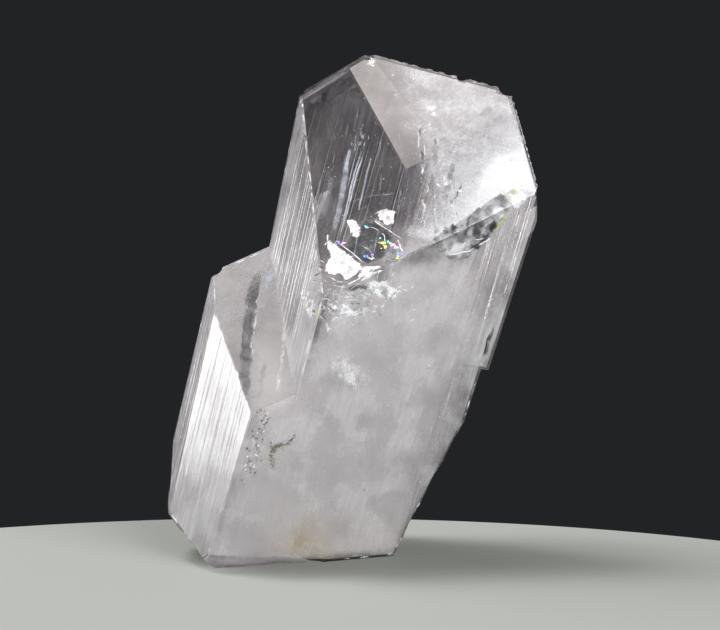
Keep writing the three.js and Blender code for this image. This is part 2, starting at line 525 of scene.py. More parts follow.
def strokes(name, where, lines, material, step=0.35, wobble=0.05, broken=0.4):
    """Fine lines as ribbons that fade at their sides and ends. Each line gives its points,
    width, cover and brightness; broken is how much its cover comes and goes."""
    stand = stand_for(name, where)
    lines = drawn(lines) if isinstance(lines, str) else lines
    bm = bmesh.new()
    covers, bright = value_layers(bm)
    for points, width, cover, tone in lines:
        path = stroke_path(points, step, wobble)
        last = len(path) - 1
        seed, pace = chance.random() * 50, between(0.4, 1.1)
        before = None
        for i, point in enumerate(path):
            way = (path[min(i + 1, last)] - path[max(i - 1, 0)]).normalized()
            side = Vector((-way.y, way.x))
            taper = ease(4 * min(i, last - i) / last + 0.05)
            gap = 1 - broken * ease(0.5 + 1.6 * noise.noise((i * step * pace, seed, 0.5)))
            row = []
            for share, fade in ((-0.5, 0), (-0.2, 1), (0.2, 1), (0.5, 0)):
                place = point + side * width * share * (0.4 + 0.6 * taper)
                vert = bm.verts.new(stand(place.x, place.y))
                vert[covers] = cover * fade * taper * gap
                vert[bright] = tone
                row.append(vert)
            if before:
                for k in range(3):
                    bm.faces.new((before[k], before[k + 1], row[k + 1], row[k]))
            before = row
    return piece_from(bm, name, [material], "fracture", smooth=True)


def long_streaks(name, where, box, count, widths, covers, tones, reach, material):
    """Many fine streaks along the long axis, under a part of a face."""
    outline = [tuple(p) for p in outline_on(*where, USUAL_DEPTH, 0.3)]
    lines = []
    while len(lines) < count:
        x, y = between(box[0], box[2]), between(box[1], box[3])
        low = y - between(*reach)
        lean = between(-0.15, 0.15)
        # (fewer are asked for with each try, so that the search comes to an end)
        count -= 0.02
        if inside(x, y, outline) > 0.5 and inside(x + lean, low, outline) > 0.5:
            lines.append((
                [(x, y), (x + lean, low)],
                between(*widths), between(*covers), chance.choice(tones),
            ))
    strokes(name, where, lines, material, broken=0.6)


def fan(bm, middle, rim):
    for here, there in looped(rim):
        bm.faces.new((middle, here, there))


def scatter(name, where, spots, material):
    """Small ragged scales right under a face. A spot is its place, size and brightness."""
    outline = [tuple(p) for p in outline_on(*where, depth_of(name), 0.3)]
    bm = bmesh.new()
    covers, bright = value_layers(bm)
    stand = stand_for(name, where)
    for x, y, size, tone in spots:
        if inside(x, y, outline) < 0.5:
            continue
        turn = between(0, tau)
        rim = []
        for i in range(8):
            angle = turn + tau * i / 8
            reach = size * between(0.5, 1.0)
            vert = bm.verts.new(stand(x + reach * cos(angle), y + reach * sin(angle)))
            vert[covers], vert[bright] = 0.35, tone
            rim.append(vert)
        middle = bm.verts.new(stand(x, y))
        middle[covers], middle[bright] = 1.0, tone
        fan(bm, middle, rim)
    piece_from(bm, name, [material], "fracture")


def films(name, stand, spots, material):
    """Small rainbow films: clusters of ragged scales with a hue that runs across them. A
    spot is its place, size, hue, how far the hue runs and how strong the colour is."""
    bm = bmesh.new()
    layers = value_layers(bm, ("hue", "strength", "cover"))

    def corner(x, y, rise, *values):
        vert = bm.verts.new(stand(x, y, rise))
        for layer, value in zip(layers, values):
            vert[layer] = value
        return vert

    for x, y, size, hue, run, strength in spots:
        for scale in range(4):
            reach = size * (0.5 if scale == 0 else between(0.16, 0.34))
            cx = x + (0 if scale == 0 else between(-0.6, 0.6) * size)
            cy = y + (0 if scale == 0 else between(-0.5, 0.5) * size)
            tint = hue + run * (cx - x) / size
            turn, slim = between(0, tau), between(0.3, 0.7)
            c, s = cos(turn), sin(turn)
            rise = 0.18 + 0.02 * scale
            middle = corner(cx, cy, rise, tint, strength, 1.0)
            rim = []
            for i in range(9):
                angle = tau * i / 9
                out = reach * between(0.6, 1.0)
                u, v = out * cos(angle), out * slim * sin(angle)
                dx, dy = u * c - v * s, u * s + v * c
                rim.append(corner(
                    cx + dx, cy + dy, rise, tint + run * dx / size, strength, 0.3))
            fan(bm, middle, rim)
    piece_from(bm, name, [material], "flake")


# ---------- materials ----------


def join(tree, node, inputs):
    """Sets a node's inputs: a socket is linked, and any other value stays on the input."""
    for key, value in inputs.items():
        if isinstance(value, bpy.types.NodeSocket):
            tree.links.new(value, node.inputs[key])
        else:
            node.inputs[key].default_value = value


def add(tree, kind, inputs, **settings):
    node = tree.nodes.new("ShaderNode" + kind)
    for key, value in settings.items():
        setattr(node, key, value)
    join(tree, node, inputs)
    return node.outputs


def calc(tree, operation, *values, clamp=False):
    inputs = dict(enumerate(values))
    return add(tree, "Math", inputs, operation=operation, use_clamp=clamp)[0]


def spread(tree, value, low, high, to_low=0.0, to_high=1.0, kind="LINEAR"):
    """A value stretched from one range to another."""
    inputs = {"Value": value, "From Min": low, "From Max": high}
    inputs.update({"To Min": to_low, "To Max": to_high})
    return add(tree, "MapRange", inputs, interpolation_type=kind)["Result"]


def blend(tree, amount, dark, light):
    inputs = {"Factor": amount, "A": (*dark, 1), "B": (*light, 1)}
    return add(tree, "Mix", inputs, data_type="RGBA")["Result"]


def held(tree, name):
    """The value of that name that a sheet's points hold."""
    return add(tree, "Attribute", {}, attribute_name=name)["Fac"]


def grained(tree, sizes):
    return add(tree, "Group", dict(zip(GRAIN_SIZES, sizes)), node_tree=GRAIN)


def frayed_mask(tree, mask, fray, grain_size):
    inputs = {"Mask": mask, "Fray": fray, "Grain Size": grain_size}
    return add(tree, "Group", inputs, node_tree=FRAY)


def new_material(name):
    material = bpy.data.materials.new(name)
    material.use_nodes = True
    return material, material.node_tree, material.node_tree.nodes["Principled BSDF"]


def new_group(name, inputs, outputs):
    """A node group, and what its inputs give and its outputs take."""
    group = bpy.data.node_groups.new(name, "ShaderNodeTree")
    for key, value in inputs.items():
        socket = group.interface.new_socket(
            key, in_out="INPUT", socket_type="NodeSocketFloat")
        socket.default_value = value
    for key in outputs:
        group.interface.new_socket(key, in_out="OUTPUT", socket_type="NodeSocketFloat")
    given = group.nodes.new("NodeGroupInput").outputs
    return group, given, group.nodes.new("NodeGroupOutput")


def clouding_group():
    """How dense the milky clouding is at a place. It fills the lower part of both
    crystals, thins out upwards along a slant, and lies in soft billows."""
    group, given, result = new_group(
        "clouding density", {"Reach": 0.0, "Softness": 0.004, "Billow Size": 300.0},
        ("Density", "Billows"),
    )
    place = add(group, "TexCoord", {})["Object"]
    height = add(group, "VectorMath", {0: place, 1: CLOUDING_WAY}, operation="DOT_PRODUCT")
    billows = add(group, "TexNoise", {
        "Vector": place, "Scale": given["Billow Size"], "Detail": 4, "Roughness": 0.55,
    })["Fac"]
    lowest = CLOUDING_TOP - CLOUDING_SWAY / 2
    limit = calc(group, "MULTIPLY_ADD", billows, CLOUDING_SWAY, lowest)
    limit = calc(group, "ADD", limit, given["Reach"])
    below = calc(group, "SUBTRACT", limit, height["Value"])
    back = calc(group, "MULTIPLY", given["Softness"], -1)
    density = spread(group, below, back, given["Softness"], kind="SMOOTHSTEP")
    join(group, result, {"Density": density, "Billows": billows})
    return group


def clouding_material(name, group, opacity, reach, softness, patchy):
    material, tree, shader = new_material(name)
    inputs = {"Reach": reach, "Softness": softness, "Billow Size": 160}
    clouds = add(tree, "Group", inputs, node_tree=group)
    patches = spread(tree, clouds["Billows"], 0.35, 0.65, opacity * (1 - patchy), opacity)
    join(tree, shader, {
        "Alpha": calc(tree, "MULTIPLY", clouds["Density"], patches),
        "Base Color": blend(tree, clouds["Billows"], (0.66, 0.63, 0.64), (0.84, 0.82, 0.83)),
        **MATT,
    })
    return material


def grain_group():
    """Patterns that follow the crystals: long streaks, short upright flecks, patches."""
    patterns = (
        ("Streaks", (1, 1, 0.03), 3, (0.42, 0.62)),
        ("Flecks", (1, 1, 0.28), 2, (0.56, 0.68)),
        ("Patches", (1, 1, 1), 5, (0.38, 0.62)),
    )
    group, given, result = new_group(
        "crystal grain", dict(zip(GRAIN_SIZES, (0.0005, 0.0004, 0.004))),
        [pattern[0] for pattern in patterns],
    )
    place = add(group, "TexCoord", {})["Object"]
    upright = add(group, "Mapping", {
        "Vector": place, "Rotation": UPRIGHT.to_euler(),
    }, vector_type="TEXTURE")["Vector"]
    for size, (output, stretch, detail, (low, high)) in zip(GRAIN_SIZES, patterns):
        shaped = add(group, "VectorMath", {0: upright, 1: stretch}, operation="MULTIPLY")
        pattern = add(group, "TexNoise", {
            "Vector": shaped["Vector"], "Scale": calc(group, "DIVIDE", 1, given[size]),
            "Detail": detail,
        })
        contrast = spread(group, pattern["Fac"], low, high, kind="SMOOTHSTEP")
        join(group, result, {output: contrast})
    return group


def fray_group():
    """A mask frayed by fine noise wherever it's neither full nor empty."""
    group, given, result = new_group(
        "frayed mask", {"Mask": 1.0, "Fray": 0.8, "Grain Size": 0.0002}, ("Mask", "Noise"))
    grain = add(group, "TexNoise", {
        "Vector": add(group, "TexCoord", {})["Object"],
        "Scale": calc(group, "DIVIDE", 1, given["Grain Size"]), "Detail": 5, "Roughness": 0.6,
    })
    noisy = spread(group, grain["Fac"], 0.3, 0.7)
    # Mask (1 + 2 Fray) - 2 Fray (1 - noise), between 0 and 1
    twice = calc(group, "MULTIPLY", given["Fray"], 2)
    raised = calc(group, "MULTIPLY", given["Mask"], calc(group, "ADD", twice, 1))
    bite = calc(group, "MULTIPLY", calc(group, "SUBTRACT", 1, noisy), twice)
    left = calc(group, "SUBTRACT", raised, bite, clamp=True)
    join(group, result, {"Mask": left, "Noise": noisy})
    return group


def haze_material(name, patchy, streaky, flecks, sizes=(0.0005, 0.0004, 0.003),
                  tones=((0.74, 0.71, 0.73), (0.90, 0.89, 0.91))):
    """Whitish haze just under a face, as dense as the sheet's own cover says."""
    material, tree, shader = new_material(name)
    grain = grained(tree, sizes)
    cover = held(tree, "cover")
    density = cover
    for output, share in (("Patches", patchy), ("Streaks", streaky)):
        thinned = spread(tree, grain[output], 0.0, 1.0, 1 - share, 1 + share / 2)
        density = calc(tree, "MULTIPLY", density, thinned)
    speckled = calc(tree, "MULTIPLY_ADD", grain["Flecks"], flecks, density, clamp=True)
    here = calc(tree, "MULTIPLY", cover, 20, clamp=True)
    join(tree, shader, {
        "Alpha": calc(tree, "MULTIPLY", speckled, here),
        "Base Color": blend(tree, grain["Patches"], *tones),
        **MATT,
    })
    return material


def crack_material(name, dark=(0.015, 0.015, 0.018), light=(0.97, 0.97, 0.99), feathers=0.35,
                   size=0.0006, mirror=0.6, fray=0.8):
    """The mirror-like and frosted parts of a crack, as dark or bright as it is painted. In the
    cracks the dark paint is a painted reflection of the dark surroundings, and the bright paint is
    partly frosted wall and partly a painted reflection of the lamps; other marks use it for their
    own tones.
    """
    material, tree, shader = new_material(name)
    grain = grained(tree, (size, size * 0.5, size * 2.5))
    frayed = frayed_mask(tree, held(tree, "cover"), fray, size * 0.5)
    feathered = spread(tree, grain["Patches"], 0.0, 1.0, 1 - feathers, 1 + feathers)
    amount = calc(tree, "MULTIPLY", held(tree, "bright"), feathered, clamp=True)
    facets = add(tree, "Bump", {
        "Strength": 0.12, "Distance": size * 0.4, "Height": frayed["Noise"],
    })
    join(tree, shader, {
        "Base Color": blend(tree, amount, dark, light), "Alpha": frayed["Mask"],
        "Normal": facets["Normal"], "Roughness": 0.4, "Metallic": mirror,
        "Specular IOR Level": 0.2,
    })
    return material


def rainbow_material():
    """Thin films in a crack: a clear colour that turns with the painted hue."""
    material, tree, shader = new_material("rainbow film")
    grain = add(tree, "TexNoise", {"Scale": 2500})["Fac"]
    turned = calc(tree, "MULTIPLY_ADD", grain, 0.10, held(tree, "hue"))
    colour = add(tree, "CombineColor", {
        "Red": turned, "Green": held(tree, "strength"), "Blue": 1.0,
    }, mode="HSV")
    join(tree, shader, {
        "Base Color": colour["Color"], "Metallic": 0.3, "Roughness": 0.35,
        "Alpha": frayed_mask(tree, held(tree, "cover"), 0.8, 0.00015)["Mask"],
    })
    return material


def moss_material():
    material, tree, shader = new_material("mossy inclusion")
    place = add(tree, "TexCoord", {})["Object"]
    mottling = add(tree, "TexNoise", {"Vector": place, "Scale": 2500})["Fac"]
    tone = blend(tree, mottling, (0.05, 0.045, 0.015), (0.22, 0.20, 0.09))
    join(tree, shader, {"Base Color": tone, "Roughness": 0.8})
    return material


def glass_material(name, roughness, rough_break=False):
    material, tree, shader = new_material(name)
    join(tree, shader, {
        "Base Color": (1, 1, 1, 1), "Roughness": roughness, "IOR": IOR,
        "Transmission Weight": 1.0,
    })
    absorption = add(tree, "VolumeAbsorption", {
        "Color": ABSORPTION_COLOUR, "Density": ABSORPTION_DENSITY,
    })
    join(tree, tree.nodes["Material Output"], {"Volume": absorption["Volume"]})
    if rough_break:
        place = add(tree, "TexCoord", {})["Object"]
        chips = add(tree, "TexNoise", {"Vector": place, "Scale": 700, "Detail": 6})
        bump = add(tree, "Bump", {"Strength": 0.8, "Distance": 0.0006, "Height": chips["Fac"]})
        join(tree, shader, {"Normal": bump["Normal"]})
    return material


# ---------- the clear crystals and the milkiness in them ----------


def surface_kind(normal):
    """Which of the shell's materials a face takes: dome, left side, right side or root."""
    inner = UPRIGHT.transposed() @ normal
    if inner.z < -0.3 or any(normal.dot(normal_of(face)) > 0.999 for face in BREAKS):
        return 3
    if inner.z > 0.3:
        return 0
    return 1 if inner.x < 0 and inner.y < 0 else 2


def crystal_shell():
    """The clear crystals' own surface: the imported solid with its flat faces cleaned."""
    bm = bmesh.new()
    bm.from_mesh(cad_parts[SPECIMEN].data)
    bmesh.ops.remove_doubles(bm, verts=bm.verts, dist=0.01 * MM)
    bmesh.ops.dissolve_limit(bm, angle_limit=radians(0.3), verts=bm.verts, edges=bm.edges)
    bmesh.ops.recalc_face_normals(bm, faces=bm.faces)
    for face in bm.faces:
        face.material_index = surface_kind(face.normal)
    piece_from(bm, "crystal_pair", [
        glass_material("danburite dome face", 0.0),
        glass_material("danburite etched side", 0.15),
        glass_material("danburite clear side", 0.04),
        glass_material("danburite broken root", 0.4, rough_break=True),
    ], "crystal")


def clouding():
    """The milkiness inside, as skins one within another that get denser inwards. A skin has
    its inset, opacity, reach, softness and how patchy it is."""
    group = clouding_group()
    skins = {
        "outer": (0.7, 0.30, 0.0, 0.005, 0.6), "second": (1.6, 0.40, 0.001, 0.005, 0.6),
        "third": (2.8, 0.60, 0.001, 0.005, 0.5), "core": (4.4, 1.0, 0.0, 0.003, 0.0),
    }
    for name, (inset, *looks) in skins.items():
        bm = evened(pair_inside(inset), 0.8 * MM)
        for vert in bm.verts:
            wave = noise.noise(vert.co * 180) + 0.5 * noise.noise(vert.co * 420)
            vert.co += vert.normal * wave * 0.12 * inset * MM
        material = clouding_material(f"clouding {name}", group, *looks)
        piece_from(bm, f"clouding_{name}", [material], "clouding", smooth=True)


# How dense the haze is under a face, from its place across and along the face.


def front_dome_haze(x, y):
    """Clear on the left over the window, milky right of a slanting edge, and whiter towards the
    right rim, where glare is painted in.
    """
    edge = np.interp(
        y, (20, 24.5, 31, 36.5, 41, 46, 50), (9.2, 7.6, 3.4, -0.2, -3.2, -6.0, -8.6))
    smudge = max(
        0.5 * blob(x, y, (-2.4, 45.8), (3.4, 2.0), 20),
        0.25 * blob(x, y, (7.5, 42.0), (4.5, 2.6), 30),
        0.35 * blob(x, y, (-1.8, 41.8), (1.8, 1.6)),
    )
    # Painted glare: the haze gets denser and whiter towards the dome's right rim.
    rim = ramp(x, y, (9.5, 44), (0.87, 0.3), 4)
    low = 0.12 * ramp(x, y, (0, 16), (0.25, -1), 5)
    return 0.015 + low + ease((x - edge) / 4.6) * (0.53 + 0.35 * rim) * (1 - smudge)


def front_side_haze(x, y):
    """Thinner upwards and in a wedge under the dome, denser along the edge with the dome,
    and none where the second skin or the small crystal has its own."""
    wedge = inside(x, y, places("-4.6,40.2 -.5,42.8 .3,38.7 -1.1,35 -4,36"), 3.5)
    top = ramp(x, y, (4, 30), (0.35, 1), 10)
    left = ramp(x, y, (-13, 0), (1, 0), 2.5)
    low = ramp(x, y, (0, 14), (0, -1), 14)
    open_view = 1 - 0.3 * blob(x, y, (3.4, 44.0), (7.0, 5.0), 35)
    skin = 1 - ramp(x, y, (7, 0), (1, 0), 2.5) * ramp(x, y, (0, 29), (0, 1), 1)
    brow = (1 - ramp(x, y, (-5.2, 38.8), (0.58, -0.82), 2.6)) * (1 - 0.5 * wedge)
    return (0.37 - 0.13 * top - 0.13 * wedge - 0.14 * low + 0.32 * brow) * left * skin * open_view


def haze_sheet(name, where, outline, cover, material):
    def paint(x, y):
        return cover(x, y) if callable(cover) else cover, 0.5

    return painted_sheet(name, where, outline, paint, material, "clouding")


def face_hazes():
    """Thin hazes right under the faces."""
    soft = haze_material(
        "soft haze", 0.42, 0.14, 0.1, (0.0006, 0.0003, 0.0045),
        ((0.62, 0.60, 0.61), (0.84, 0.83, 0.84)))
    streaked = haze_material("streaked haze", 0.25, 0.5, 0.06)
    brushed = haze_material("brushed haze", 0.3, 0.2, 0.08, (0.0006, 0.0004, 0.006))
    flecked = haze_material(
        "flecked haze", 0.16, 0.2, 0.2, (0.0006, 0.00028, 0.003),
        ((0.82, 0.80, 0.82), (0.95, 0.94, 0.96)))
    smooth = haze_material(
        "smooth haze", 0.08, 0.03, 0.0, tones=((0.545, 0.505, 0.50), (0.585, 0.55, 0.54)))
    dull = haze_material(
        "dull haze", 0.3, 0.1, 0.05, (0.0006, 0.0003, 0.007),
        ((0.42, 0.395, 0.385), (0.52, 0.49, 0.48)))
    veil = haze_material(
        "back dome veil", 0.08, 0.03, 0.0, tones=((0.95, 0.88, 0.88), (1.0, 0.93, 0.93)))
    skin_step = places("8,48 12.5,44 14.5,36 40,36 40,60 8,60")
    hazes = (
        ("front_dome", *DOME, flecked, front_dome_haze),
        ("front_side", *FRONT, soft, front_side_haze),
        ("small_front_side", SMALL, "front_side", soft,
         lambda x, y: 0.35 * ramp(x, y, (-10.5, 0), (-1, 0), 2.5)),
        ("skin_dome", SKIN, "front_dome", flecked,
         lambda x, y: 0.95 * inside(x, y, skin_step, 1.5)),
        ("skin_shoulder", SKIN, "shoulder", flecked, 0.8),
        ("skin_front_side", SKIN, "front_side", soft,
         lambda x, y: 0.46 * ramp(x, y, (7, 0), (1, 0), 2.5)),
        ("skin_right_side", SKIN, "right_side", streaked, 0.35),
        ("left_side", LARGE, "left_side", brushed,
         lambda x, y: (0.45 + 0.2 * ramp(x, y, (0, 45), (0, -1), 15))
         * ramp(x, y, (0, 14), (0, 1), 8)),
        ("back_side", LARGE, "back_side", streaked,
         lambda x, y: 0.35 * ramp(x, y, (0, 30), (0, -1), 10)),
        ("right_side", LARGE, "right_side", streaked,
         lambda x, y: 0.3 + 0.2 * ramp(x, y, (0, 34), (0, -1), 10)),
        ("back_dome", LARGE, "back_dome", veil, 0.85),
        ("small_dome", *SMALL_DOME, dull,
         lambda x, y: 0.62 + 0.15 * ramp(x, y, (-14, 12), (-1, 0), 5)),
        ("small_left_side", *SMALL_LEFT, brushed, 0.6),
        ("small_narrow_side", SMALL, "narrow_side", streaked, 0.55),
        ("small_back_side", SMALL, "back_side", streaked, 0.35),
    )
    for name, crystal, side, material, cover in hazes:
        beyond = LARGE["left_side"] if name == "small_dome" else None
        if crystal is SKIN:
            beyond = SKIN_REACH
        outline = outline_on(crystal, side, DEPTH["haze"], MARGIN["haze"], beyond)
        stand = under_face(crystal, side, DEPTH["haze"])
        sheet = haze_sheet(f"haze_{name}", stand, outline, cover, material)
        # The domes' own hazes let the light through to what is seen beneath them.
        sheet.visible_shadow = side != "front_dome"

    wall = LARGE, "right_side"
    outline = outline_on(*wall, DEPTH["haze_step_wall"], 0.1, SKIN["front_dome"])
    haze_sheet("haze_step_wall", wall, outline, 0.5, flecked)

    # The smooth pinkish veil runs on from the back dome over the top of the back side.
    strip = outline_on(LARGE, "back_side", DEPTH["haze"], 0.1)
    start, low, end = (to_face(LARGE["back_side"], p) for p in VEIL_EDGE)
    for a, b in ((start, low), (low, end)):
        way = (b - a).normalized()
        strip = clipped(strip, a, Vector((-way.y, way.x)))
    haze_sheet("haze_back_strip", (LARGE, "back_side"), strip, 0.85, smooth)


# The cracks, each on its own plane. The first row of a sheet is the size of its cells and
# its outline. A mark is the softness of its rim, how much it covers and how bright it is,
# and a line its width, cover and brightness; then come its places.


def crack_sheet(name, stand, drawing, ragged, material, kind=crumbly, relief=None):
    """A crack's painted wall. Its marks' rims are ragged by that much, in waves that long."""
    (outline, cell), *marks = drawn(drawing)
    painted_sheet(name, stand, outline, lambda x, y: kind(marks, x, y, *ragged), material,
                  "fracture", cell, relief)


def upper_crack():
    """The bright crack under the front dome, with a dark eye in it. The eye is a painted dark
    reflection, and the bright wall is partly frosted and partly a painted reflection of the lamps.
    """
    flat = on_crack((-0.1, -9.0, 36.9), -23.7, 38.7, 30.2)

    def relief(x, y):
        return 0.10 * ripple(x, y, 0.7, 1.0) + 0.03 * ripple(x, y, 2.5, 6.0)

    def held_back(name):
        return kept_inside(flat, LARGE, MARGIN[name])

    crack_sheet("crack_upper", held_back("crack_upper"), """
    .11  -5.6,-3 -3.4,-7.2 -.7,-7.2 3.4,-4.2 6.1,-1.7 5.7,1.9 3.5,7.6 0,8.5 -4.2,7.6 -5.6,3.8
    4 .25 .2  -5,5 0,7 4,5 5.5,-1 2,-4 -2,-6 -5,-3
    1 .92 .03  -.6,4.6 .8,4.4 2.6,2.8 3.6,.4 3,-2.2 1.2,-3.4 -.4,-2.4 -1.9,-.6 -1.6,2
    1.2 .5 .14  -.2,-1.5 1.2,-.8 1.6,.8 .6,1.2 -.4,0
    1 .5 .16  2.8,0 4.6,.4 5.2,-1.2 3.6,-1.8
    .3 .95 .95  -2.7,4.6 -2,4.8 -.9,3.2 -.7,1.6 -1.5,1.7 -2,3
    .4 .95 .92  .5,6.4 1.5,6.8 2.8,6.3 2.9,4.3 2.2,4 1.3,5
    .22 1 1  -4.3,1 -2.6,-.5 -.8,-2.3 .9,-4.1 -.1,-5.6 -.7,-6.3 -1.6,-5 -2.6,-5.2 -3.5,-4.8
        -3.6,-3 -3.2,-2.1 -4.1,-.3
    .2 .95 .9  1,-3.9 3.1,-3.8 2.2,-4.9 1.5,-6.1 .6,-5.6
    .5 .6 .2  3.2,-2.6 4.6,-2.3 5.4,-3.4 3.6,-3.8
    """, (0.26, 0.35), crack_material("upper crack", feathers=0.5, size=0.0004, mirror=0.42),
                relief=relief)
    stand = held_back("crack_upper_lines")
    # The near-black lines are painted dark reflection, and the white ones partly frosted, partly
    # painted reflection of the lamps.
    strokes("crack_upper_lines", lambda x, y: stand(x, y, 0.16), """
    .16 1 0  -3.5,.6 -1.2,-1.6 .9,-3.8
    .09 .9 1  -3.3,.8 -1,-1.35 1.1,-3.6
    .1 .8 .9  -.2,5.2 1.2,4 2.6,2.8 5.2,.6
    .15 .9 .05  -.1,4.8 1.3,3.6 2.8,2.3
    .1 .8 .9  .4,5 1.7,3.9 3,3
    .12 .7 .7  -.5,3.6 1,3.1 2.4,1.8 2.9,-.4
    .1 .6 .6  .4,-.2 1.4,-1.4 2,-3.2
    .1 .6 .6  -1.4,.8 -.2,.2 .9,-1
    .12 .8 .85  4,1.4 4.6,-.2 5.4,-1.8
    .25 .8 .9  -4.6,2.2 -4.3,.8 -4.5,-.6
    .16 .8 .95  -3,-5.6 -1.8,-6.6 -.2,-6.9
    .14 .7 .9  -5,-2 -4.6,-3.6 -3.8,-5.2
    """, crack_material("crack lines", feathers=0.1), step=0.2)
    return held_back("films_upper")


def lower_crack():
    """Wispy, sparkling cracks right under the front side, below the dome's edge. The sparkles are
    painted white specks and lines, and the near-black bits are painted dark reflection.
    """
    def at_depth(name):
        return just_under((1.0, -15.5, 32.0), ("left_side", "front_side"), DEPTH[name])

    crack_sheet("crack_lower", at_depth("crack_lower"), """
    .11  -4.6,-3.6 -1.4,-5 5,-2.8 7.2,.8 3.2,2.8 -1.8,3.2 -6,.6
    2 .28 .7  -5.4,.2 -1.6,2.3 2.9,1.9 6.6,.4 4.4,-2 -1.6,-4.1 -4.2,-2.9
    .4 .85 1  2.9,1.6 5.2,1.5 5,1 6.4,.4 5.7,-.3 4.4,-.4 3.2,.2 2.6,.6
    .35 .8 .95  -5.3,.2 -4.2,0 -3.4,-.6 -3.5,-1.3 -4.5,-.7 -5.1,-.4
    .5 .65 .9  -4.6,-1.2 -3.4,-1.2 -3.5,-2.6 -4.2,-2.3
    .4 .8 1  -1.8,-1 .2,-1 .4,-1.5 -.9,-2 -1.5,-1.6
    .6 .5 .95  -.4,-1.6 1.6,-1.4 3.2,-1.6 1.4,-2.3 -.6,-2.3
    .25 .85 .12  .1,.7 1.3,1.3 2.5,1.2 2.3,.6 1.5,.9 .7,.5
    .2 .9 .03  -2.8,-1 -2.4,-1 -2.4,-1.4 -2.8,-1.4
    """, (0.35, 0.4), crack_material("lower crack", feathers=0.45, size=0.0003, mirror=0.08))
    lines = drawn("""
    .16 .9 1  -1.6,2.3 -.6,1 .3,.9
    .14 .9 1  .3,.6 1.5,1.3 2.3,.9
    .24 .9 1  -1,-2.1 .6,-2 1.75,-1.8
    .22 1 1  -1.6,-1.2 -.6,-1.6 .3,-1.2
    .18 .8 1  -.2,-.3 .7,-.1
    .34 .8 1  -2.2,-2.9 -2,-3.8 -2,-4.4
    .3 .8 1  .7,-3.5 1,-3.3
    .3 .9 1  2.9,-2 3.4,-1.9
    .22 .8 1  3.8,-1.5 4.4,-1.2
    .36 .8 1  -4.4,4.8 -3.6,3.4
    .16 .7 .95  -4.6,4 -3.9,2.4 -3.2,1
    .2 .9 .1  -2,-1.3 -1.2,-1.9
    """)
    wisps = (
        ((-3.6, 0.9), (1.4, 1.2), 60), ((-2.0, 1.4), (-1.6, 1.2), 60),
        ((1.6, 2.0), (-0.8, 0.9), 70), ((4.4, 1.2), (0.6, 0.6), 30),
    )
    for across, along, count in wisps:
        for _ in range(count):
            x, y = chance.gauss(*across), chance.gauss(*along)
            way, reach = between(-0.9, 0.9), between(0.2, 0.8)
            bent = y + way * reach * 0.5 + between(-0.15, 0.15)
            lines.append((
                [(x, y), (x + reach * 0.5, bent), (x + reach, y + way * reach)],
                between(0.08, 0.2), between(0.4, 1.0),
                chance.choice((1.0, 1.0, 0.95, 0.9, 0.1)),
            ))
    strokes("crack_lower_lines", at_depth("crack_lower_lines"), lines,
            crack_material("lower crack lines", feathers=0.1, mirror=0.0, fray=0.25), step=0.12)
    return at_depth("films_lower")


